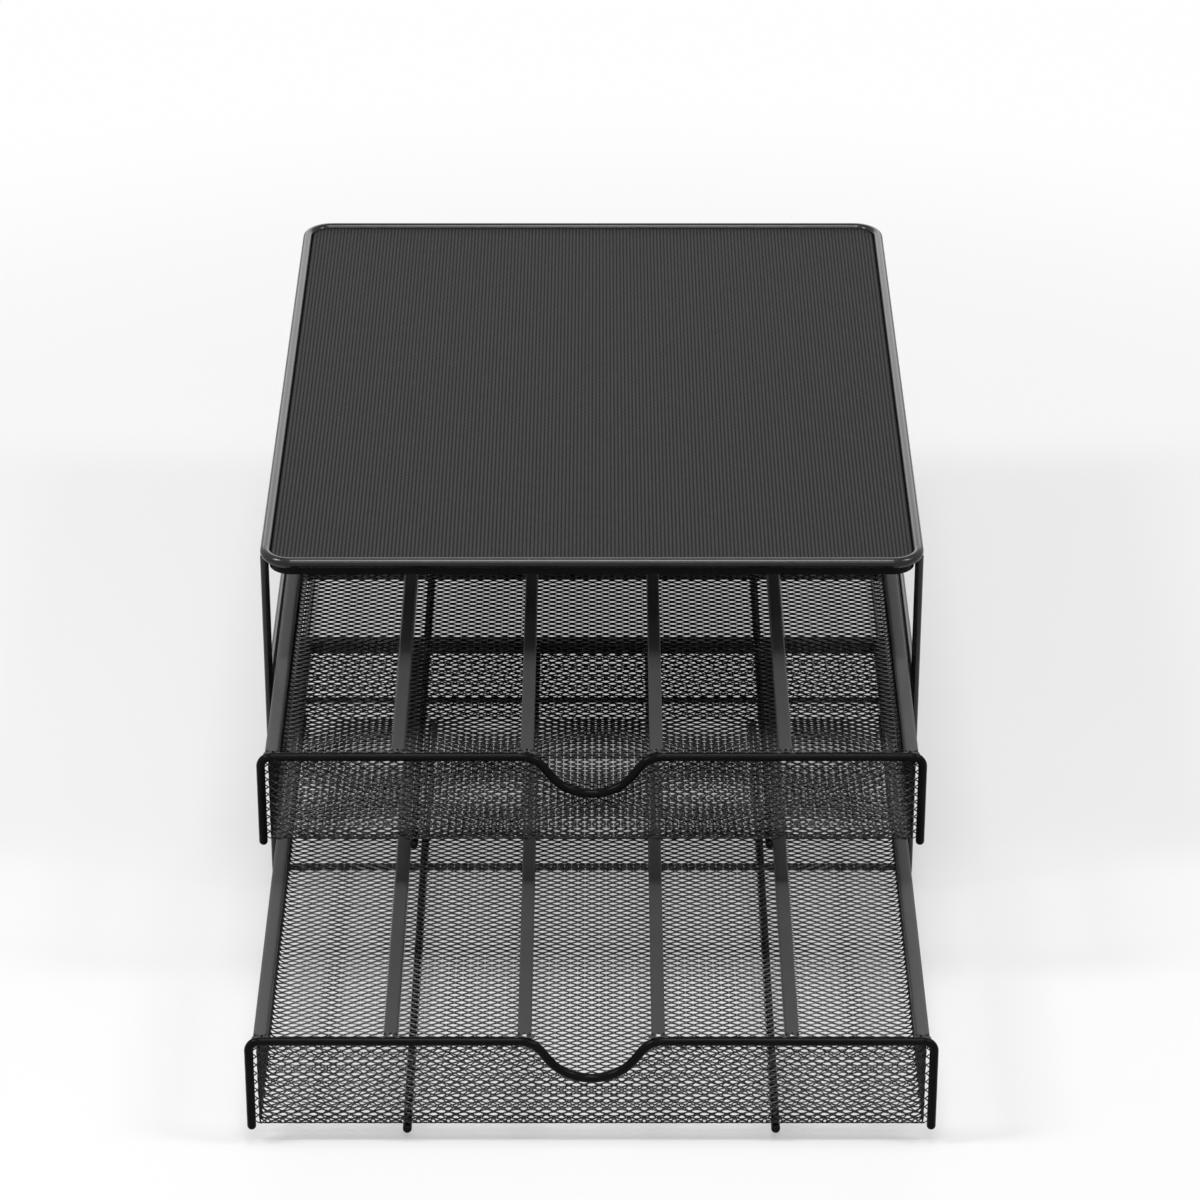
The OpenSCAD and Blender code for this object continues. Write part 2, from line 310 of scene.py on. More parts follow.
@dataclass(frozen=True)
class GlossCoat:
    """Dark powder coat: a smooth skin with a faint orange peel and a little dust.

    Attributes:
        name: the material's name.
        black: colour of the coat.
        dusty: colour where dust has settled.
        roughness: how matt the coat is at its glossiest.
        haze: how much more matt it gets in patches.
        specular: strength of the reflections, 0.5 for plain plastic.
        peel_mm: size of the orange peel's ripples.
        peel_depth: strength of the ripples.
    """

    name: str
    black: Triple = (0.0032, 0.0032, 0.0034)
    dusty: Triple = (0.010, 0.010, 0.010)
    roughness: float = 0.15
    haze: float = 0.08
    specular: float = 0.16
    peel_mm: float = 1.6
    peel_depth: float = 0.06

    def make(self) -> bpy.types.Material:
        """Builds the material.

        Returns:
            The material, ready for a mesh.
        """
        material, sheet = blank_material(self.name)
        where = sheet.place()
        patches = sheet.noise(where, per_metre=45.0, detail=4.0)
        specks = sheet.noise(where, per_metre=900.0, detail=2.0).ramp(0.60, 0.74)
        settled = patches.ramp(0.35, 0.75) * 0.35 + specks * 0.65
        dust = settled * patches.ramp(0.2, 0.9)
        peel = sheet.noise(where, per_metre=1.0 / (self.peel_mm * MM), detail=2.0)
        bump = sheet.add(
            "ShaderNodeBump", inputs={"Strength": self.peel_depth, "Distance": 0.0004, "Height": peel}
        )
        shader = sheet.add(
            "ShaderNodeBsdfPrincipled",
            inputs={
                "Base Color": sheet.mix(dust, colour(self.black), colour(self.dusty)),
                "Roughness": (patches * self.haze + specks * 0.08 + self.roughness).clamped(),
                "Specular IOR Level": self.specular,
                "Normal": bump,
            },
        )
        sheet.add("ShaderNodeOutputMaterial", inputs={"Surface": shader})
        return material


@dataclass(frozen=True)
class GripMat:
    """Moulded anti-slip mat: charcoal with staggered short ribs, like a coarse weave.

    Attributes:
        name: the material's name.
        low: colour of the hollows, near black: painted shade in them.
        high: colour of the ribs' tops.
        pitch_x: spacing of the columns of ribs, in mm.
        pitch_y: spacing of the ribs along a column, in mm.
        lean: how far a rib leans sideways, as a share of its column.
        narrow: how narrow a rib is, where 2 just fills its column.
        short: how short it is, where 2 just reaches the next one.
    """

    name: str
    low: Triple = (0.003, 0.003, 0.0033)
    high: Triple = (0.040, 0.040, 0.041)
    pitch_x: float = 1.8
    pitch_y: float = 1.6
    lean: float = 0.35
    narrow: float = 1.9
    short: float = 1.7

    def make(self) -> bpy.types.Material:
        """Builds the material.

        Returns:
            The material, ready for a mesh.
        """
        material, sheet = blank_material(self.name)
        where = sheet.place()
        x, y, _ = sheet.axes(where)
        columns_per_metre, ribs_per_metre = 1.0 / (self.pitch_x * MM), 1.0 / (self.pitch_y * MM)
        column = x * columns_per_metre
        stagger = (column.floor() * 0.5).fraction()
        across = column.fraction() - 0.5
        along = (y * ribs_per_metre + stagger + across * self.lean).fraction() - 0.5
        rib = 1.0 - (across.absolute() * self.narrow) ** 2.0 - (along.absolute() * self.short) ** 2.0
        height = rib.ramp(0.05, 0.95)
        wear = sheet.noise(where, per_metre=160.0, detail=4.0)
        grain = sheet.noise(where, per_metre=2600.0, detail=2.0)
        # The tone follows the ribs' height: painted shade darkens the hollows towards near black, while wear
        # and grain vary it at random.
        tone = (height * (0.75 + wear * 0.5) + grain * 0.10 - 0.05).clamped()
        bump = sheet.add(
            "ShaderNodeBump",
            inputs={"Strength": 0.55, "Distance": 0.0005, "Height": height + grain * 0.12},
        )
        shader = sheet.add(
            "ShaderNodeBsdfPrincipled",
            inputs={
                "Base Color": sheet.mix(tone, colour(self.low), colour(self.high)),
                "Roughness": (0.70 - height * 0.12 + grain * 0.08).clamped(),
                "Specular IOR Level": 0.08,
                "Normal": bump,
            },
        )
        sheet.add("ShaderNodeOutputMaterial", inputs={"Surface": shader})
        return material


@dataclass(frozen=True)
class SleeveRubber:
    """Matt rubber of the feet, with fine moulding grain.

    Attributes:
        name: the material's name.
        tone: the rubber's colour.
        scuffed: how many times paler it is where it is scuffed.
    """

    name: str
    tone: Triple = (0.018, 0.018, 0.019)
    scuffed: float = 2.2

    def make(self) -> bpy.types.Material:
        """Builds the material.

        Returns:
            The material, ready for a mesh.
        """
        material, sheet = blank_material(self.name)
        where = sheet.place()
        grain = sheet.noise(where, per_metre=1800.0)
        scuff = sheet.noise(where, per_metre=220.0).ramp(0.45, 0.8)
        paler = tuple(min(1.0, part * self.scuffed) for part in self.tone)
        bump = sheet.add(
            "ShaderNodeBump", inputs={"Strength": 0.25, "Distance": 0.0003, "Height": grain}
        )
        shader = sheet.add(
            "ShaderNodeBsdfPrincipled",
            inputs={
                "Base Color": sheet.mix(scuff, colour(self.tone), colour(paler)),
                "Roughness": (0.62 + grain * 0.2).clamped(),
                "Normal": bump,
            },
        )
        sheet.add("ShaderNodeOutputMaterial", inputs={"Surface": shader})
        return material


# ---------------------------------------------------------------- mesh building


@dataclass
class Surface:
    """Vertices in mm and quads, gathered before they become a mesh.

    Attributes:
        points: arrays of vertices, n by 3.
        quads: arrays of vertex numbers, n by 4.
        count: how many vertices there are so far.
    """

    points: list[Array] = field(default_factory=list)
    quads: list[Array] = field(default_factory=list)
    count: int = 0

    def put(self, points: Array, quads: Array) -> None:
        """Adds vertices, and the quads between them.

        Args:
            points: vertices in mm, n by 3.
            quads: numbers of these vertices, m by 4.
        """
        self.points.append(np.asarray(points, float))
        self.quads.append(np.asarray(quads, int) + self.count)
        self.count += len(points)

    def mirrored(self) -> "Surface":
        """Mirrors the surface across the middle plane.

        Returns:
            The same surface on the other side.
        """
        flipped = Surface()
        for points, quads in zip(self.points, self.quads):
            flipped.points.append(points * (-1.0, 1.0, 1.0))
            flipped.quads.append(quads[:, ::-1])
        flipped.count = self.count
        return flipped

    def arrays(self) -> tuple[Array, Array]:
        """Joins what was gathered, without the vertices that no quad uses.

        Returns:
            All vertices, and all quads.
        """
        points = np.concatenate(self.points)
        quads = np.concatenate(self.quads)
        used, place = np.unique(quads, return_inverse=True)
        return points[used], place.reshape(quads.shape)


class PlanarMap(Enum):
    """The two axes that a piece's flat texture map lies along."""

    TOP = (0, 1)
    FRONT = (0, 2)
    SIDE = (1, 2)


def make_mesh(
    name: str,
    surface: Surface,
    material: bpy.types.Material,
    sharp_degrees: float,
    flat_map: Optional[PlanarMap] = None,
) -> bpy.types.Mesh:
    """Turns a surface into a Blender mesh.

    Args:
        name: the mesh's name.
        surface: its vertices in mm, and its quads.
        material: its finish.
        sharp_degrees: edges that turn by more than this stay crisp.
        flat_map: the plane of its own texture map, where it has one.

    Returns:
        The mesh, in metres.
    """
    points, quads = surface.arrays()
    mesh = bpy.data.meshes.new(name)
    mesh.vertices.add(len(points))
    mesh.vertices.foreach_set("co", (points * MM).astype(np.float32).ravel())
    mesh.loops.add(quads.size)
    mesh.loops.foreach_set("vertex_index", quads.astype(np.int32).ravel())
    mesh.polygons.add(len(quads))
    mesh.polygons.foreach_set("loop_start", np.arange(0, quads.size, 4, dtype=np.int32))
    mesh.polygons.foreach_set("use_smooth", np.ones(len(quads), bool))
    mesh.update(calc_edges=True)
    mesh.materials.append(material)
    if flat_map is not None:
        across, up = flat_map.value
        flat = points[quads.ravel()][:, [across, up]]
        low, high = flat.min(0), flat.max(0)
        layer = mesh.uv_layers.new(name="OFBake")
        layer.data.foreach_set("uv", ((flat - low) / (high - low)).astype(np.float32).ravel())
    mesh.set_sharp_from_angle(angle=math.radians(sharp_degrees))
    return mesh


def put_piece(
    name: str,
    mesh: bpy.types.Mesh,
    body: str,
    replaces: Sequence[str] = (),
    at: Sequence[float] = (0.0, 0.0, 0.0),
) -> bpy.types.Object:
    """Puts a piece in the scene and ties it to the CAD.

    Args:
        name: the piece's name.
        mesh: its shape.
        body: the CAD body that it moves with.
        replaces: the CAD nodes that it stands for.
        at: where its own origin goes, in mm.

    Returns:
        The piece.
    """
    piece = bpy.data.objects.new(name, mesh)
    piece.location = Vector(at) * MM
    bpy.context.scene.collection.objects.link(piece)
    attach(piece, body)
    if replaces:
        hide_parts(*replaces)
    LOG.info("%s: %d faces, rides on %s, stands for %s", name, len(mesh.polygons), body, list(replaces))
    return piece


def grid_quads(rows: int, columns: int, closed: bool = False) -> Array:
    """Quads between the points of a grid.

    Args:
        rows: how many rows of points.
        columns: how many points in a row.
        closed: whether each row's last point joins its first.

    Returns:
        Vertex numbers, n by 4.
    """
    row = np.arange(rows - 1)[:, None] * columns
    column = np.arange(columns if closed else columns - 1)[None, :]
    after = (column + 1) % columns
    corners = (row + column, row + after, row + columns + after, row + columns + column)
    return np.stack([c.ravel() for c in corners], axis=1)


def thick_sheet(surface: Surface, grid: Array, thickness: float) -> None:
    """Adds a formed sheet: a grid of points on its outside, thickened inwards.

    Args:
        surface: what it is added to.
        grid: points on the sheet's outer face, rows by columns by 3.
        thickness: the sheet's thickness in mm.
    """
    rows, columns = grid.shape[:2]
    along = np.gradient(grid, axis=0)
    across = np.gradient(grid, axis=1)
    normal = np.cross(across, along)
    never_zero = 1e-12
    normal /= np.linalg.norm(normal, axis=2, keepdims=True) + never_zero
    outer = grid.reshape(-1, 3)
    inner = (grid - normal * thickness).reshape(-1, 3)
    count = rows * columns
    faces = grid_quads(rows, columns)
    quads = [faces, faces[:, ::-1] + count]
    edge = np.concatenate(
        [
            np.arange(columns),
            np.arange(1, rows) * columns + columns - 1,
            (rows - 1) * columns + np.arange(columns - 2, -1, -1),
            np.arange(rows - 2, 0, -1) * columns,
        ]
    )
    after = np.roll(edge, -1)
    quads.append(np.stack([edge, edge + count, after + count, after], axis=1))
    surface.put(np.concatenate([outer, inner]), np.concatenate(quads))


def weld_lump(surface: Surface, centre: Sequence[float], radii: Sequence[float], seed: int) -> None:
    """Adds a lump of weld, to be half sunk in what it joins.

    Args:
        surface: what it is added to.
        centre: its middle.
        radii: half of its size along x, y and z.
        seed: which of the lumpy forms it takes.
    """
    rings, sides = 9, 14
    steepest = math.pi / 2 - 0.02
    tilt = np.linspace(-steepest, steepest, rings)[:, None]
    turn = np.linspace(0.0, 2.0 * math.pi, sides, endpoint=False)[None, :]
    phase = np.random.default_rng(seed).uniform(0.0, 2.0 * math.pi, 3)
    lumps = 1.0 + np.cos(tilt) * (
        0.12 * np.sin(2 * turn + phase[0])
        + 0.08 * np.sin(3 * turn + phase[1] + 2 * tilt)
        + 0.05 * np.sin(5 * turn + phase[2])
    )
    level = np.cos(tilt)
    ball = np.stack(
        [level * np.cos(turn), level * np.sin(turn), np.sin(tilt) * np.ones_like(turn)], axis=2
    )
    points = np.asarray(centre, float) + ball * lumps[..., None] * np.asarray(radii, float)
    surface.put(points.reshape(-1, 3), grid_quads(rings, sides, closed=True))


# ---------------------------------------------------------------- expanded metal

# The quads that close a ribbon's end, by how many corners its section has.
END_CAPS = {6: ((0, 1, 2, 3), (0, 3, 4, 5)), 8: ((0, 1, 2, 3), (0, 3, 4, 7), (4, 5, 6, 7))}


@dataclass(frozen=True)
class ExpandedMetal:
    """One kind of expanded metal: rows of zigzag ribbons that join at their bonds.

    Lengths are in mm: u runs along the diamonds' long way, v along the short way, and
    w out of the sheet.

    Attributes:
        long_way: pitch of the diamonds along u.
        short_way: pitch of the diamonds along v.
        strand: width of a ribbon, before it is tilted.
        thick: thickness of the sheet it was cut from.
        bond: length of a bond along u.
        tilt: how far the ribbons are turned about u, in degrees.
        overlap: how far two ribbons run into each other at a bond.
        chamfer: width of the cut corners of a ribbon's section.
    """

    long_way: float = 6.7
    short_way: float = 4.2
    strand: float = 0.66
    thick: float = 0.42
    bond: float = 1.1
    tilt: float = 35.0
    overlap: float = 0.03
    chamfer: float = 0.06

    def section(self, corners: int) -> Array:
        """Outline of a ribbon across its run.

        Args:
            corners: how many corners it has, 6 or 8.

        Returns:
            The corners, as (width, thickness) pairs.
        """
        w, t, c = self.strand / 2, self.thick / 2, self.chamfer
        if corners == 6:
            outline = [(-w, -t), (w - c, -t), (w, -t + c), (w, t - c), (w - c, t), (-w, t)]
        else:
            outline = [
                (-w, -t + c), (-w + c, -t), (w - c, -t), (w, -t + c),
                (w, t - c), (w - c, t), (-w + c, t), (-w, t - c),
            ]
        return np.array(outline)

    def weave(
        self,
        u_range: tuple[float, float],
        v_range: tuple[float, float],
        keep: Callable[[Array, Array], Array],
        corners: int,
    ) -> tuple[Array, Array]:
        """Makes the ribbons of a flat sheet.

        Args:
            u_range: where the sheet starts and ends along u.
            v_range: the same along v.
            keep: says for arrays of u and v which runs of ribbon are there.
            corners: corners of a ribbon's section.

        Returns:
            Vertices as (u, v, w), and quads.
        """
        path = self._path(u_range, v_range)
        middle = (path[:, 1:] + path[:, :-1]) / 2
        here = keep(middle[..., 0], middle[..., 1])
        return self._rings(path, corners), self._faces(here, corners)

    def _path(self, u_range: tuple[float, float], v_range: tuple[float, float]) -> Array:
        """Runs the ribbons' centre lines in zigzags from bond to bond.

        Args:
            u_range: where the sheet starts and ends along u.
            v_range: the same along v.

        Returns:
            Points as (u, v, w), ribbons by stations by 3.
        """
        half = self.long_way / 2
        row_pitch = self.short_way / 2
        rows = np.arange(math.floor(v_range[0] / row_pitch) - 1, math.ceil(v_range[1] / row_pitch) + 2)
        bonds = np.arange(math.floor(u_range[0] / half) - 1, math.ceil(u_range[1] / half) + 2)
        lean = math.radians(self.tilt)
        swing = self.short_way / 4 - self.strand * math.cos(lean) / 2 + self.overlap
        top = np.where((rows[:, None] + bonds[None, :]) % 2 == 0, 1.0, -1.0)
        top = np.repeat(top, 2, axis=1)
        path = np.empty(top.shape + (3,))
        path[..., 0] = np.stack([bonds * half - self.bond / 2, bonds * half + self.bond / 2], axis=1).ravel()
        path[..., 1] = rows[:, None] * row_pitch + top * swing
        path[..., 2] = top * self.strand * math.sin(lean) / 2
        return path

    def _rings(self, path: Array, corners: int) -> Array:
        """Sets the ribbon's section on every station of its centre line.

        Args:
            path: the centre lines, ribbons by stations by 3.
            corners: corners of the section.

        Returns:
            Vertices as (u, v, w), ribbon by ribbon and station by station.
        """
        lean = math.radians(self.tilt)
        step = np.diff(path, axis=1)
        step /= np.linalg.norm(step, axis=2, keepdims=True)
        tangent = np.empty_like(path)
        tangent[:, 1:-1] = step[:, 1:] + step[:, :-1]
        tangent[:, 0], tangent[:, -1] = step[:, 0], step[:, -1]
        tangent /= np.linalg.norm(tangent, axis=2, keepdims=True)
        across = np.array([0.0, math.cos(lean), -math.sin(lean)])
        width = across - (tangent @ across)[..., None] * tangent
        width /= np.linalg.norm(width, axis=2, keepdims=True)
        out = np.cross(tangent, width)
        section = self.section(corners)
        rings = (
            path[:, :, None, :]
            + section[None, None, :, 0:1] * width[:, :, None, :]
            + section[None, None, :, 1:2] * out[:, :, None, :]
        )
        return rings.reshape(-1, 3)

    @staticmethod
    def _faces(here: Array, corners: int) -> Array:
        """Skins the runs of ribbon that are there, and closes their ends.

        Args:
            here: which runs between two stations are there, ribbons by runs.
            corners: corners of a ribbon's section.

        Returns:
            Quads between the vertices that _rings gives.
        """
        stations = here.shape[1] + 1
        row, run = np.nonzero(here)
        base = (row * stations + run)[:, None] * corners
        following = base + corners
        side = np.arange(corners)[None, :]
        after = (side + 1) % corners
        sides = np.stack([base + side, following + side, following + after, base + after], axis=2)
        cap = np.array(END_CAPS[corners])
        before = np.pad(here, ((0, 0), (1, 0)))[:, :-1]
        beyond = np.pad(here, ((0, 0), (0, 1)))[:, 1:]
        quads = [sides.reshape(-1, 4)]
        for ends, shift, order in ((here & ~before, 0, cap), (here & ~beyond, 1, cap[:, ::-1])):
            row, run = np.nonzero(ends)
            first = ((row * stations + run + shift) * corners)[:, None, None]
            quads.append((first + order[None]).reshape(-1, 4))
        return np.concatenate(quads)


@dataclass(frozen=True)
class FacePanel:
    """The outline of a drawer's front panel, inside its front wire, in mm.

    Attributes:
        half_width: from the middle to the centre line of a side bar.
        top: height of the front wire's centre line.
        notch_half: half the width of the finger dip.
        notch_depth: its depth.
        shoulder: radius of its shoulders.
        slope: slope of its flanks in degrees.
    """

    half_width: float = 151.0
    top: float = 45.8
    notch_half: float = 32.0
    notch_depth: float = 19.5
    shoulder: float = 12.0
    slope: float = 55.0

    def bottom_radius(self) -> float:
        """Radius of the dip's bottom, which follows from its depth and shoulders.

        Returns:
            The radius in mm.
        """
        slope = math.radians(self.slope)
        half_tan = math.tan(slope / 2)
        flank = (self.notch_half * half_tan - self.notch_depth) / (
            math.cos(slope) * half_tan - math.sin(slope)
        )
        return (self.notch_depth - flank * math.sin(slope)) / (1 - math.cos(slope)) - self.shoulder

    def height_at(self, x: Array) -> Array:
        """Height of the front wire's centre line.

        Args:
            x: distances from the middle in mm, to either side.

        Returns:
            The height at each x.
        """
        slope = math.radians(self.slope)
        radius = self.bottom_radius()
        x = np.abs(x)
        arc_end = radius * math.sin(slope)
        flank_end = self.notch_half - self.shoulder * math.sin(slope)
        z_low = self.top - self.notch_depth
        arc = z_low + radius - np.sqrt(np.maximum(0.0, radius**2 - np.minimum(x, radius) ** 2))
        flank = z_low + radius * (1 - math.cos(slope)) + (x - arc_end) * math.tan(slope)
        rise = np.sqrt(np.maximum(0.0, self.shoulder**2 - (self.notch_half - x) ** 2))
        shoulder = self.top - self.shoulder + rise
        height = np.where(x < arc_end, arc, np.where(x < flank_end, flank, shoulder))
        return np.where(x > self.notch_half, self.top, height)


# ---------------------------------------------------------------- the CAD nodes


def box_mm(node: str) -> tuple[Array, Array]:
    """A CAD node's lowest and highest corners, in mm."""
    low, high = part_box(node)
    return np.array(low) / MM, np.array(high) / MM


def dress_node(node: bpy.types.Object, material: bpy.types.Material) -> None:
    """Gives a CAD node a finish and smooth shading that keeps its crisp edges.

    Args:
        node: the CAD object, whose shape stays as it is.
        material: its finish.
    """
    node.data.materials.clear()
    node.data.materials.append(material)
    node.data.polygons.foreach_set("use_smooth", np.ones(len(node.data.polygons), bool))
    node.data.set_sharp_from_angle(angle=math.radians(CAD_CREASE))
    LOG.info("%s: dressed with %s", node.name, material.name)


def dress_body(body: str, finishes: Mapping[Slot, bpy.types.Material]) -> None:
    """Gives every CAD node of a body its finish.

    Args:
        body: the CAD body.
        finishes: the material of each slot.
    """
    for entry in frame["record"]["subparts"]:
        node = frame["nodes"][entry["node"]]
        if node["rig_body"] == body:
            dress_node(node, finishes[Slot(entry["material_slot"])])


# ---------------------------------------------------------------- the cabinet


@dataclass
class Cabinet:
    """The standing frame: shelf rim, pan, mat, side frames, rails and cross wires.

    Attributes:
        body: the CAD body it is.
        wire: radius of its wires, in mm.
        rail_bead: half the size of the welds between rails and posts, along x, y and z.
        end_bead: the same for the welds at a wire's end.
        post_bead: the same for the welds between posts and rim.
    """

    body: str = "cabinet"
    wire: float = 2.0
    rail_bead: Triple = (1.3, 0.9, 0.8)
    end_bead: Triple = (0.9, 1.3, 0.8)
    post_bead: Triple = (1.0, 1.4, 0.9)

    def dress(self, finishes: Mapping[Slot, bpy.types.Material]) -> None:
        """Gives every CAD node of the cabinet its finish.

        Args:
            finishes: the material of each slot.
        """
        dress_body(self.body, finishes)

    def add_welds(self, coat: bpy.types.Material) -> None:
        """Adds weld beads where rails, cross wires and posts meet.

        Args:
            coat: the finish of the wires.
        """
        beads = Surface()
        low, high = box_mm("left_side_frame")
        post_x = -(low[0] + self.wire)
        posts_y = (low[1] + self.wire, high[1] - self.wire)
        rail_inward, rail_spread = 2.0, 1.7
        post_inward, post_sunk = 1.4, 0.6
        seed = 1
        for side in (-1.0, 1.0):
            hand = "left" if side < 0 else "right"
            for rail in ("upper", "lower"):
                a, b = box_mm(f"{rail}_{hand}_rail")
                z = (a[2] + b[2]) / 2
                for y, way in zip(posts_y, (1.0, -1.0)):
                    for up in (-1.0, 1.0):
                        centre = (side * post_x, y + way * rail_inward, z + up * rail_spread)
                        weld_lump(beads, centre, self.rail_bead, seed)
                        seed += 1
            for name in (
                "upper_front_cross_wire",
                "upper_back_cross_wire",
                "lower_front_cross_wire",
                "lower_back_cross_wire",
                "upper_stop_wire",
                "lower_stop_wire",
            ):
                self._end_welds(beads, name, side * post_x, side, seed)
                seed += 2
            for y in posts_y:
                centre = (side * (post_x - post_inward), y, high[2] - post_sunk)
                weld_lump(beads, centre, self.post_bead, seed)
                seed += 1
        mesh = make_mesh("frame_welds", beads, coat, WELD_CREASE)
        put_piece("frame_welds", mesh, self.body)

    def _end_welds(self, beads: Surface, node: str, x: float, side: float, seed: int) -> None:
        """Adds the two lumps that hold the end of a wire to a post.

        Args:
            beads: what they are added to.
            node: the wire.
            x: the post's centre.
            side: -1 for the left post and 1 for the right one.
            seed: which of the lumpy forms they take.
        """
        low, high = box_mm(node)
        y, z = (low[1] + high[1]) / 2, (low[2] + high[2]) / 2
        inward, spread = 2.1, 1.5
        for up in (-1.0, 1.0):
            centre = (x - side * inward, y, z + up * spread)
            weld_lump(beads, centre, self.end_bead, seed + int(up > 0))


# ---------------------------------------------------------------- the drawers


class Tier(Enum):
    """The two drawers."""

    UPPER = "upper"
    LOWER = "lower"


# Pitch of the front panel's diamonds along their short way, in mm.
FRONT_SHORT_WAY = {Tier.UPPER: 3.95, Tier.LOWER: 4.45}


@dataclass
class Drawer:
    """One sliding drawer: a front wire, a mesh basket, edging channels, dividers and runners.

    Lengths are in mm, from the front wire's centre line and the underside of the floor.

    Attributes:
        tier: which drawer it is.
        face: the front panel's outline.
        metal: the mesh of its floor, sides and back.
        face_metal: the mesh of its front.
        depth: from the front wire's centre to the back.
        net_x: outer face of the side panels.
        net_t: how much room a wall's mesh has.
        net_y: front face of the front panel's mesh.
        fold: outer radius of the fold under the front panel.
        net_top: top of the side and back panels' mesh.
        body_x: outer face of the side edgings.
        edge_w: width of the edgings and dividers.
        edge_z: top of the edgings.
        divider_z: top of the dividers.
        divider_h: height of a divider.
        divider_xs: where the dividers stand.
        sheet_t: thickness of the channels' sheet.
        wire: radius of the drawer's wires.
    """

    tier: Tier
    face: FacePanel = field(default_factory=FacePanel)
    metal: ExpandedMetal = field(default_factory=ExpandedMetal)
    face_metal: ExpandedMetal = field(default_factory=ExpandedMetal)
    depth: float = 365.8
    net_x: float = 148.0
    net_t: float = 1.2
    net_y: float = 0.4
    fold: float = 3.0
    net_top: float = 46.4
    body_x: float = 149.0
    edge_w: float = 6.0
    edge_z: float = 47.4
    divider_z: float = 47.8
    divider_h: float = 7.0
    divider_xs: tuple[float, ...] = (-88.5, -29.5, 29.5, 88.5)
    sheet_t: float = 1.0
    wire: float = 2.0

    @property
    def body(self) -> str:
        """The CAD body it is."""
        return f"{self.tier.value}_drawer"

    def node(self, name: str) -> str:
        """A CAD node's full name."""
        return f"{self.tier.value}_{name}"

    def origin(self) -> Array:
        """Where the drawer's own zero lies.

        Returns:
            The place in mm: x in the middle, y at the front wire and z under the floor.
        """
        low, high = box_mm(self.node("front_wire"))
        floor_low, _ = box_mm(self.node("floor_mesh"))
        return np.array([0.0, high[1] - self.wire, floor_low[2]])

    def dress(self, finishes: Mapping[Slot, bpy.types.Material]) -> None:
        """Gives every CAD node of the drawer its finish.

        Args:
            finishes: the material of each slot.
        """
        dress_body(self.body, finishes)

    def add_basket(self, shapes: Mapping[str, bpy.types.Mesh]) -> None:
        """Puts the basket's five walls of expanded metal in place.

        Args:
            shapes: each wall's mesh, named by its CAD node. What follows a hyphen tells its halves apart.
        """
        for name, mesh in shapes.items():
            piece = self.node(name.replace("-", "_").replace("mesh", "expanded_metal"))
            wall = self.node(name.split("-")[0])
            put_piece(piece, mesh, self.body, [wall], self.origin())

    def add_channels(self, shapes: Mapping[str, bpy.types.Mesh]) -> None:
        """Puts the edgings and dividers in place.

        Args:
            shapes: the mesh of each edging, and of one divider.
        """
        for name in ("left_edge", "right_edge"):
            piece, edge = self.node(f"{name}_strip"), self.node(name)
            put_piece(piece, shapes[name], self.body, [edge], self.origin())
        for number, x in enumerate(self.divider_xs, 1):
            piece, divider = self.node(f"divider_strip_{number}"), self.node(f"divider_{number}")
            at = self.origin() + (x, 0.0, 0.0)
            put_piece(piece, shapes["divider"], self.body, [divider], at)


def bend_up(run: Array, out: Array, radius: float) -> tuple[Array, Array]:
    """Bends a flat sheet up through a quarter turn.

    Args:
        run: how far each point is past the start of the bend, along the flat sheet.
        out: how far it is out of the sheet's middle, away from the bend's centre.
        radius: the bend's radius to the sheet's middle.

    Returns:
        How far each point ends up past the start of the bend, and how high.
    """
    angle = np.clip(run / radius, 0.0, math.pi / 2)
    reach = radius + out
    past = reach * np.sin(angle) + np.minimum(run, 0.0)
    height = radius - reach * np.cos(angle) + np.maximum(0.0, run - radius * math.pi / 2)
    return past, height


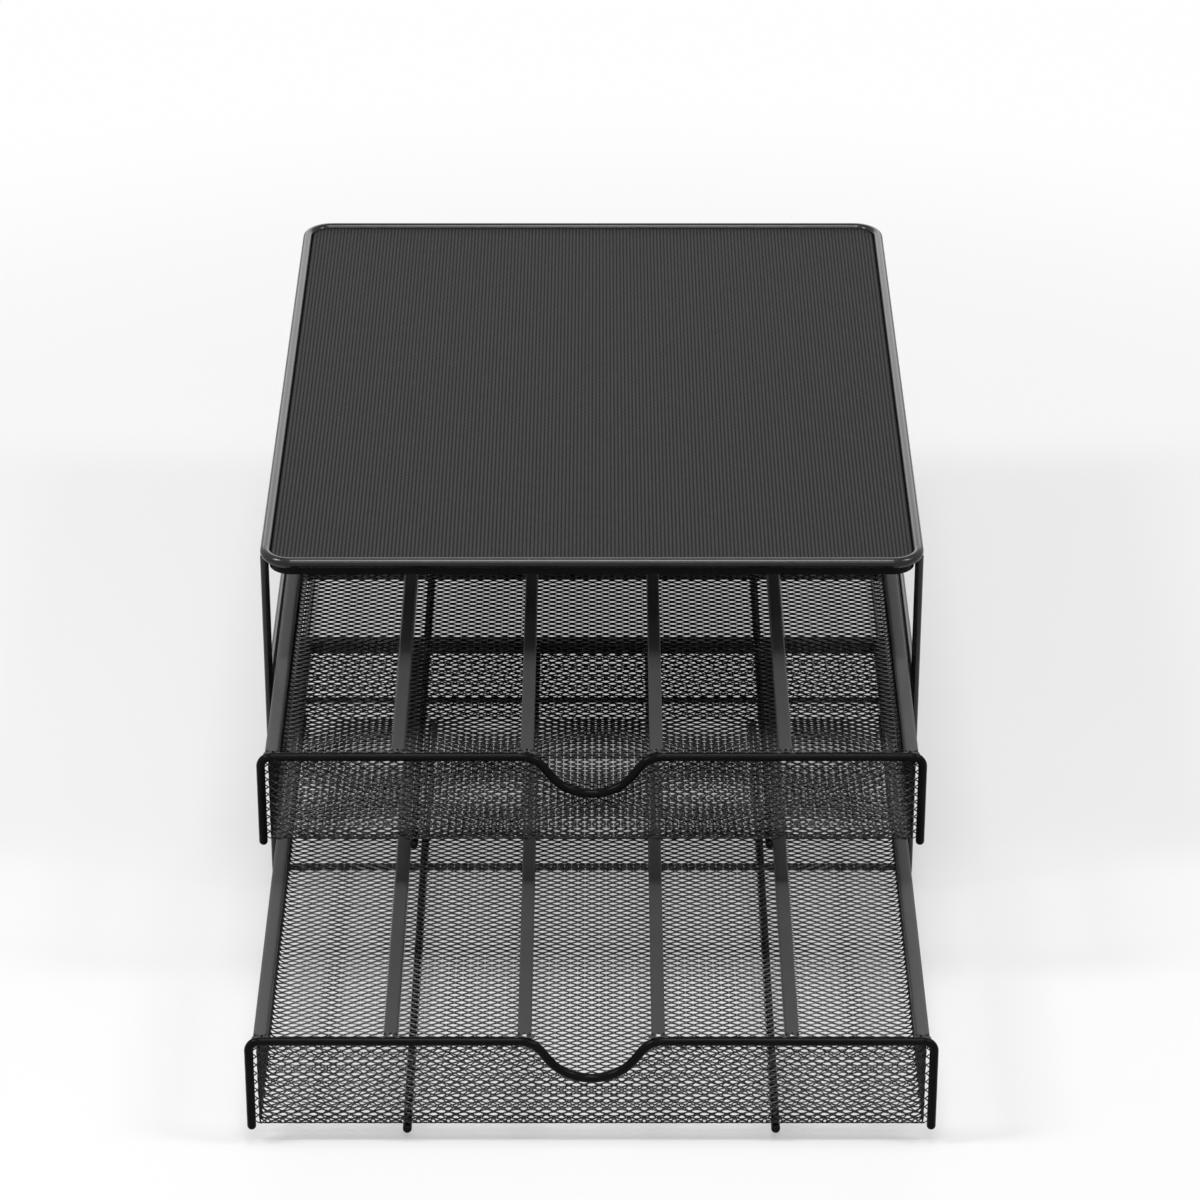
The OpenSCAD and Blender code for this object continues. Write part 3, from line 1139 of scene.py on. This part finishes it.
class Basket:
    """Makes the walls of a drawer's basket from sheets of expanded metal."""

    def __init__(self, drawer: Drawer, coat: bpy.types.Material) -> None:
        """Takes the sizes from a drawer.

        Args:
            drawer: whose walls these are.
            coat: their finish.
        """
        self.drawer = drawer
        self.coat = coat
        # Bend radius between the floor and its walls, to the sheet's middle.
        self.corner = 2.2
        self.mid = drawer.net_t / 2

    def shapes(self) -> dict[str, bpy.types.Mesh]:
        """Makes the walls that both drawers share.

        Returns:
            The floor's, sides' and back's meshes, named by the CAD node that each stands for.
        """
        d = self.drawer
        y0, y1 = d.net_y + self.mid, d.depth - d.sheet_t - self.mid
        fold_end, middle = y0 + d.fold - self.mid, (y0 + y1) / 2
        floor, left, right = (-1, 1), (-2, -1), (1, 2)
        return {
            "floor_mesh-fore": self._trough("floor_fore", floor, fold_end, middle, PlanarMap.TOP),
            "floor_mesh-aft": self._trough("floor_aft", floor, middle, y1, PlanarMap.TOP),
            "left_mesh": self._trough("left", left, y0, y1, PlanarMap.SIDE),
            "right_mesh": self._trough("right", right, y0, y1, PlanarMap.SIDE),
            "back_mesh": self._back(y1),
        }

    def _trough(
        self, name: str, part: tuple[int, int], v0: float, v1: float, flat_map: PlanarMap
    ) -> bpy.types.Mesh:
        """Floor or side wall: the sheet runs down one side, across the floor and up the other.

        Args:
            name: the wall's name.
            part: where it starts and ends: 2 is a wall's top, 1 the middle of the bend at its foot, and
                a minus sign means the left side.
            v0: where it starts along the drawer.
            v1: where it ends.
            flat_map: the plane of its texture map.

        Returns:
            The wall's mesh.
        """
        d = self.drawer
        flat = d.net_x - self.mid - self.corner
        arc = self.corner * math.pi / 2
        wall = d.net_top - self.mid - self.corner
        far = {1: flat + arc / 2, 2: flat + arc + wall}
        u0, u1 = (math.copysign(far[abs(end)], end) for end in part)

        def keep(u: Array, v: Array) -> Array:
            """The runs of ribbon inside the wall's four edges."""
            return (u > u0) & (u <= u1) & (v > v0) & (v <= v1)

        points, quads = d.metal.weave((u0, u1), (v0, v1), keep, 6)
        u, v, w = points.T
        past, height = bend_up(np.abs(u) - flat, w, self.corner)
        surface = Surface()
        surface.put(np.stack([np.sign(u) * (flat + past), v, self.mid + height], axis=1), quads)
        return make_mesh(f"{name}_expanded_metal", surface, self.coat, STRAND_CREASE, flat_map)

    def front(self) -> bpy.types.Mesh:
        """Front wall: the sheet comes from the floor, turns up in a fold and ends in the front wire.

        Returns:
            The wall's mesh.
        """
        d = self.drawer
        radius = d.fold - self.mid
        arc = radius * math.pi / 2
        start = d.net_y + d.fold
        top = d.face.top - d.fold
        short_of_bar, into_wire = 0.4, 0.5
        limit = d.face.half_width - short_of_bar
        foot_limit = d.net_x - d.net_t

        def keep(u: Array, v: Array) -> Array:
            """The runs of ribbon below the front wire, and those of the fold between the side panels.

            Args:
                u: the middles of the runs along the drawer's width.
                v: the same along the flat sheet.

            Returns:
                Whether each is there.
            """
            run = start - v
            height = d.fold + (run - arc)
            clear = d.face.height_at(u) - d.wire + into_wire
            in_face = (run > arc / 2) & (height < clear) & (np.abs(u) < limit)
            in_fold = (run > 0.0) & (run <= arc / 2) & (np.abs(u) < foot_limit)
            return in_face | in_fold

        points, quads = d.face_metal.weave((-limit, limit), (start - arc - top, start), keep, 8)
        u, v, w = points.T
        past, height = bend_up(start - v, w, radius)
        surface = Surface()
        surface.put(np.stack([u, start - past, self.mid + height], axis=1), quads)
        name = d.node("front_expanded_metal")
        return make_mesh(name, surface, self.coat, STRAND_CREASE, PlanarMap.FRONT)

    def _back(self, y1: float) -> bpy.types.Mesh:
        """Back wall: the floor's sheet turned up at the back.

        Args:
            y1: where the middle of the wall's sheet is.

        Returns:
            The wall's mesh.
        """
        d = self.drawer
        arc = self.corner * math.pi / 2
        start = y1 - self.corner
        limit = d.net_x - d.net_t
        top = start + arc + d.net_top - self.mid - self.corner

        def keep(u: Array, v: Array) -> Array:
            """The runs of ribbon above the bend, between the side panels."""
            return (np.abs(u) < limit) & (v > start + arc * 0.4) & (v <= top)

        points, quads = d.metal.weave((-limit, limit), (start, top), keep, 6)
        u, v, w = points.T
        past, height = bend_up(v - start, w, self.corner)
        surface = Surface()
        surface.put(np.stack([u, start + past, self.mid + height], axis=1), quads)
        return make_mesh("back_expanded_metal", surface, self.coat, STRAND_CREASE, PlanarMap.FRONT)


@dataclass(frozen=True)
class Fold:
    """One cross-section of a folded channel, an upside-down U, in mm.

    Attributes:
        y: where it is along the channel.
        left: outer face of the left flange at the top.
        right: outer face of the right flange at the top.
        left_foot: where the left flange's foot is.
        right_foot: where the right flange's foot is.
        left_z: height of the left foot.
        right_z: height of the right foot.
        top: height of the top face.
        fold: radius of the two folds.
        rake: how far the top lies behind the feet.
    """

    y: float
    left: float
    right: float
    left_foot: float
    right_foot: float
    left_z: float
    right_z: float
    top: float
    fold: float
    rake: float = 0.0

    def outline(self) -> Array:
        """Runs from the left foot over the top to the right foot.

        Returns:
            The points, n by 3.
        """
        left_z, right_z = (min(z, self.top - self.fold) for z in (self.left_z, self.right_z))
        turn = np.linspace(0.0, math.pi / 2, 6)
        reach = self.fold - self.fold * np.cos(turn)
        rise = self.top - self.fold + self.fold * np.sin(turn)
        left_fold = np.stack([self.left + reach, rise], axis=1)
        right_fold = np.stack([self.right - reach, rise], axis=1)[::-1]
        flat = np.linspace(left_fold[-1], right_fold[0], 5)[1:-1]
        down = np.linspace(0.0, 1.0, 5)[1:, None]
        spread = np.concatenate([down**2, down], axis=1)
        left_leg = left_fold[0] + spread * (self.left_foot - self.left, left_z - left_fold[0][1])
        right_leg = right_fold[-1] + spread * (self.right_foot - self.right, right_z - right_fold[-1][1])
        flat_outline = np.concatenate([left_leg[::-1], left_fold, flat, right_fold, right_leg])
        x, z = flat_outline.T
        foot_z = np.where(x < (self.left + self.right) / 2, left_z, right_z)
        y = self.y + self.rake * (z - foot_z) / (self.top - foot_z)
        return np.stack([x, y, z], axis=1)


class Channels:
    """Forms a drawer's edging strips and dividers from folded sheet."""

    def __init__(self, drawer: Drawer, coat: bpy.types.Material) -> None:
        """Takes the sizes from a drawer.

        Args:
            drawer: whose channels these are.
            coat: their finish.
        """
        self.drawer = drawer
        self.coat = coat
        # The formed sheet is a little thinner than the room that the CAD gives it.
        self.sheet = 0.8
        self.wire_top = drawer.face.top + drawer.wire

    def _strip(self, stations: Sequence[Fold]) -> Surface:
        """Forms a folded channel.

        Args:
            stations: its cross-sections, from the front end to the back.

        Returns:
            The channel's surface.
        """
        surface = Surface()
        thick_sheet(surface, np.array([station.outline() for station in stations]), self.sheet)
        return surface

    def divider(self) -> bpy.types.Mesh:
        """Forms a divider. Its front end is pinched to an arch whose feet stand on the front wire.

        Returns:
            The divider's mesh, about x = 0.
        """
        d = self.drawer
        w, top = d.edge_w / 2, d.divider_z
        low = top - d.divider_h
        rest = self.wire_top

        def even(
            y: float, half: float, foot: float, foot_z: float, z: float, fold: float, rake: float = 0.0
        ) -> Fold:
            """A fold that is the same on both sides."""
            return Fold(y, -half, half, -foot, foot, foot_z, foot_z, z, fold, rake)

        along = (4.80, d.depth * 0.25, d.depth * 0.5, d.depth * 0.75, d.depth - d.edge_w + 0.4)
        strip = self._strip(
            [
                even(0.60, 1.05, 3.40, rest - 0.30, top + 0.62, 1.0, 2.45),
                even(0.75, 1.35, 3.42, rest - 0.22, top + 0.86, 1.2, 2.45),
                even(1.45, 1.65, 3.00, rest - 0.60, top + 0.80, 1.2, 2.15),
                even(2.20, 1.82, 2.50, rest - 1.20, top + 0.45, 1.1, 1.70),
                even(2.95, 1.95, 2.15, rest - 1.80, top + 0.15, 1.0, 1.15),
                even(3.60, 2.20, 2.20, rest - 2.40, top + 0.02, 0.9, 0.65),
                even(4.05, 2.85, 2.85, low + 3.4, top - 0.05, 0.8, 0.25),
                even(4.40, w, w, low + 0.6, top, 0.8),
                *(even(y, w, w, low, top, 0.8) for y in along),
            ]
        )
        for side, seed in ((-1.0, 3), (1.0, 8)):
            weld_lump(strip, (side * (w + 0.3), 0.5, rest - 0.25), (1.15, 0.9, 0.42), seed)
            weld_lump(strip, (side * (w - 0.7), 1.5, rest - 0.9), (0.8, 0.9, 0.6), seed + 1)
        return make_mesh("divider_strip", strip, self.coat, DIVIDER_CREASE)

    def edging(self) -> Surface:
        """Forms the right side edging. Its front end bends down and runs out on the front wire's corner.

        Returns:
            The edging's surface.
        """
        d = self.drawer
        outer, inner, top = d.body_x, d.body_x - d.edge_w, d.edge_z
        low = top - d.edge_w
        rest = self.wire_top

        def bent(
            y: float, sides: tuple[float, float], feet: tuple[float, float], down: tuple[float, float],
            rise: float, fold: float, rake: float,
        ) -> Fold:
            """A fold of the bent front end, each pair measured inwards or down, the inner side first."""
            return Fold(
                y, inner + sides[0], outer - sides[1], inner + feet[0], outer - feet[1],
                rest - down[0], rest - down[1], top + rise, fold, rake,
            )

        along = (4.2, d.depth * 0.25, d.depth * 0.5, d.depth * 0.75, d.depth)
        strip = self._strip(
            [
                bent(0.5, (1.2, 3.0), (-0.2, 2.2), (0.3, 1.1), 0.25, 0.8, 1.9),
                bent(0.7, (1.0, 2.8), (-0.2, 2.0), (0.2, 1.0), 0.50, 0.9, 1.9),
                bent(1.3, (0.8, 2.4), (0.0, 1.6), (0.8, 1.6), 0.45, 0.9, 1.6),
                bent(2.0, (0.7, 1.9), (0.3, 1.3), (1.5, 2.6), 0.25, 0.9, 1.2),
                bent(2.7, (0.6, 1.1), (0.5, 0.9), (2.4, 3.8), 0.05, 0.8, 0.8),
                bent(3.3, (0.4, 0.4), (0.4, 0.4), (3.8, 5.0), -0.02, 0.7, 0.4),
                Fold(3.8, inner, outer, inner, outer, low + 0.6, low + 0.4, top, 0.7),
                *(Fold(y, inner, outer, inner, outer, low, low, top, 0.7) for y in along),
            ]
        )
        weld_lump(strip, (outer - 1.9, 0.7, rest - 1.0), (1.5, 1.1, 0.8), 5)
        weld_lump(strip, (outer - 0.2, 2.2, rest - 1.9), (0.9, 1.4, 1.1), 6)
        weld_lump(strip, (inner - 0.2, 0.7, rest - 0.5), (1.0, 0.9, 0.5), 7)
        return strip

    def shapes(self) -> dict[str, bpy.types.Mesh]:
        """Makes the channels that both drawers share.

        Returns:
            The meshes of the divider and of the two side edgings.
        """
        right = self.edging()
        return {
            "divider": self.divider(),
            "right_edge": make_mesh("right_edge_strip", right, self.coat, EDGING_CREASE),
            "left_edge": make_mesh("left_edge_strip", right.mirrored(), self.coat, EDGING_CREASE),
        }


# ---------------------------------------------------------------- the studio


@dataclass(frozen=True)
class Softbox:
    """A soft studio light.

    Attributes:
        name: the light's name.
        at: where it hangs, in metres.
        towards: the point it faces.
        size: its width and height.
        glow: how bright its face is, where 1 is white.
    """

    name: str
    at: Triple
    towards: Triple
    size: tuple[float, float]
    glow: float

    def hang(self) -> None:
        """Puts the light in the scene."""
        data = bpy.data.lights.new(self.name, "AREA")
        data.shape = "RECTANGLE"
        data.size, data.size_y = self.size
        data.energy = self.glow * math.pi * self.size[0] * self.size[1]
        lamp = bpy.data.objects.new(self.name, data)
        lamp.location = self.at
        aim = Vector(self.towards) - Vector(self.at)
        lamp.rotation_euler = aim.to_track_quat("-Z", "Y").to_euler()
        bpy.context.scene.collection.objects.link(lamp)


@dataclass
class Studio:
    """A pale floor, a white surround, softboxes and the photograph's camera.

    Attributes:
        camera_at: where the camera stands, in metres.
        pitch: how far it looks down, in degrees.
        lens: its focal length, in mm.
        sensor: width of its sensor, in mm.
        surround_light: strength of the surround as a light, where 1 is white.
        floor_tones: the floor's darkest and palest grey.
        floor_glow: how much of the floor is plain white to the camera, under the object and far off.
        glow_reach: the squared distances, in square metres, between which the one turns into the other.
        floor_half: half the floor's width, in mm.
        floor_z: the floor's height, a little below the feet, in mm.
    """

    camera_at: Triple = (0.0038, -1.997, 1.195)
    pitch: float = 28.37
    lens: float = 139.2
    sensor: float = 36.0
    surround_light: float = 0.12
    floor_tones: tuple[float, float] = (0.80, 0.84)
    floor_glow: tuple[float, float] = (0.4, 0.98)
    glow_reach: tuple[float, float] = (0.08, 0.9)
    floor_half: float = 6000.0
    floor_z: float = -0.02

    def set_up(self) -> None:
        """Builds the whole studio."""
        scene = bpy.context.scene
        scene.view_settings.view_transform = "Standard"
        self._surround(scene)
        self._floor()
        self._camera(scene)
        for box in (
            Softbox("overhead_softbox", (0.0, -0.45, 2.28), (0.0, -0.1, 0.1), (0.7, 0.8), 13.0),
            Softbox("front_softbox", (0.0, -1.95, 2.15), (0.0, -0.1, 0.15), (1.1, 0.22), 14.0),
            Softbox("back_softbox", (0.0, 2.16, 0.90), (0.0, 0.0, 0.1), (2.6, 0.9), 1.8),
            Softbox("left_key", (-1.52, -0.54, 1.78), (0.0, -0.17, 0.1), (0.38, 0.75), 25.0),
            Softbox("right_key", (1.52, -0.54, 1.78), (0.0, -0.17, 0.1), (0.38, 0.75), 17.5),
        ):
            box.hang()

    def _surround(self, scene: bpy.types.Scene) -> None:
        """White where the camera or a reflection sees it, and dimmer as a light.

        Args:
            scene: the scene that it surrounds.
        """
        world = bpy.data.worlds.new("studio_surround")
        scene.world = world
        world.use_nodes = True
        sheet = Shader(world.node_tree)
        camera = sheet.add("ShaderNodeLightPath", output="Is Camera Ray")
        outputs = camera.socket.node.outputs
        glossy = Signal(sheet, outputs["Is Glossy Ray"])
        clear = Signal(sheet, outputs["Is Transmission Ray"])
        seen = camera.larger(glossy).larger(clear)
        white = sheet.add("ShaderNodeBackground", inputs={"Color": WHITE, "Strength": 1.0})
        dim = {"Color": WHITE, "Strength": self.surround_light}
        light = sheet.add("ShaderNodeBackground", inputs=dim)
        both = sheet.add("ShaderNodeMixShader", inputs={0: seen, 1: light, 2: white})
        sheet.add("ShaderNodeOutputWorld", inputs={"Surface": both})

    def _floor(self) -> None:
        """A wide pale floor that keeps the object's shadow, and turns white away from it."""
        surface = Surface()
        half, z = self.floor_half, self.floor_z
        corners = [(-half, -half, z), (half, -half, z), (half, half, z), (-half, half, z)]
        surface.put(np.array(corners), np.array([[0, 1, 2, 3]]))
        material, sheet = blank_material("pale_floor")
        where = sheet.place()
        dark, pale = (colour((tone, tone, tone)) for tone in self.floor_tones)
        tone = sheet.mix(sheet.noise(where, per_metre=3.0, detail=2.0), dark, pale)
        x, y, _ = sheet.axes(where)
        far = (x * x + y * y).ramp(*self.glow_reach)
        near_glow, far_glow = self.floor_glow
        camera = sheet.add("ShaderNodeLightPath", output="Is Camera Ray")
        glow = camera * (near_glow + far * (far_glow - near_glow))
        plain = sheet.add("ShaderNodeBsdfDiffuse", inputs={"Color": tone})
        white = sheet.add("ShaderNodeEmission", inputs={"Color": WHITE, "Strength": 1.0})
        both = sheet.add("ShaderNodeMixShader", inputs={0: glow, 1: plain, 2: white})
        sheet.add("ShaderNodeOutputMaterial", inputs={"Surface": both})
        floor = bpy.data.objects.new("floor", make_mesh("floor", surface, material, CAD_CREASE))
        bpy.context.scene.collection.objects.link(floor)
        floor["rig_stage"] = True

    def _camera(self, scene: bpy.types.Scene) -> None:
        """Puts the camera where the photograph was taken from.

        Args:
            scene: the scene that it is the camera of.
        """
        data = bpy.data.cameras.new("camera")
        data.sensor_width = self.sensor
        data.lens = self.lens
        data.clip_end = 50.0
        camera = bpy.data.objects.new("camera", data)
        camera.location = self.camera_at
        camera.rotation_euler = (math.radians(90.0 - self.pitch), 0.0, 0.0)
        scene.collection.objects.link(camera)
        scene.camera = camera


def plain_box(bounds: Any) -> Any:
    """Args:
        bounds: a number, or a mapping or sequence of such.

    Returns:
        The same as floats, lists and dicts.
    """
    if isinstance(bounds, Mapping):
        return {key: plain_box(value) for key, value in bounds.items()}
    if isinstance(bounds, (int, float)):
        return float(bounds)
    return [plain_box(value) for value in bounds]


def make_finishes() -> dict[Slot, bpy.types.Material]:
    """Makes the finish of every slot.

    Returns:
        The material of each slot.
    """
    return {
        Slot.FRAME_WIRE: GlossCoat("frame_wire_coat", specular=0.34, peel_depth=0.03).make(),
        Slot.SHEET: GlossCoat("pan_coat", roughness=0.2, specular=0.06, peel_mm=2.2).make(),
        Slot.MAT: GripMat("grip_mat").make(),
        Slot.FOOT: SleeveRubber("foot_rubber").make(),
        Slot.DRAWER_WIRE: GlossCoat("drawer_wire_coat", roughness=0.14, specular=0.05).make(),
        Slot.MESH: GlossCoat("mesh_coat", haze=0.05, specular=0.36, peel_depth=0.01).make(),
        Slot.CHANNEL: GlossCoat(
            "channel_coat",
            black=(0.045, 0.045, 0.046),
            dusty=(0.062, 0.062, 0.062),
            roughness=0.42,
            specular=0.25,
            peel_mm=1.2,
        ).make(),
    }


def main() -> None:
    """Builds the drawers, the cabinet and the studio, in that order."""
    logging.basicConfig(level=logging.INFO, format="%(message)s")
    cad_box = plain_box(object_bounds())
    finishes = make_finishes()
    pattern = Drawer(Tier.UPPER)
    walls = Basket(pattern, finishes[Slot.MESH]).shapes()
    channels = Channels(pattern, finishes[Slot.CHANNEL]).shapes()
    for tier in Tier:
        drawer = Drawer(tier, face_metal=ExpandedMetal(short_way=FRONT_SHORT_WAY[tier]))
        drawer.dress(finishes)
        front = Basket(drawer, finishes[Slot.MESH]).front()
        drawer.add_basket({**walls, "front_mesh": front})
        drawer.add_channels(channels)
    cabinet = Cabinet()
    cabinet.dress(finishes)
    cabinet.add_welds(finishes[Slot.FRAME_WIRE])
    Studio().set_up()
    {"cad": cad_box, "visual": plain_box(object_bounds())}


if __name__ == "__main__":
    main()
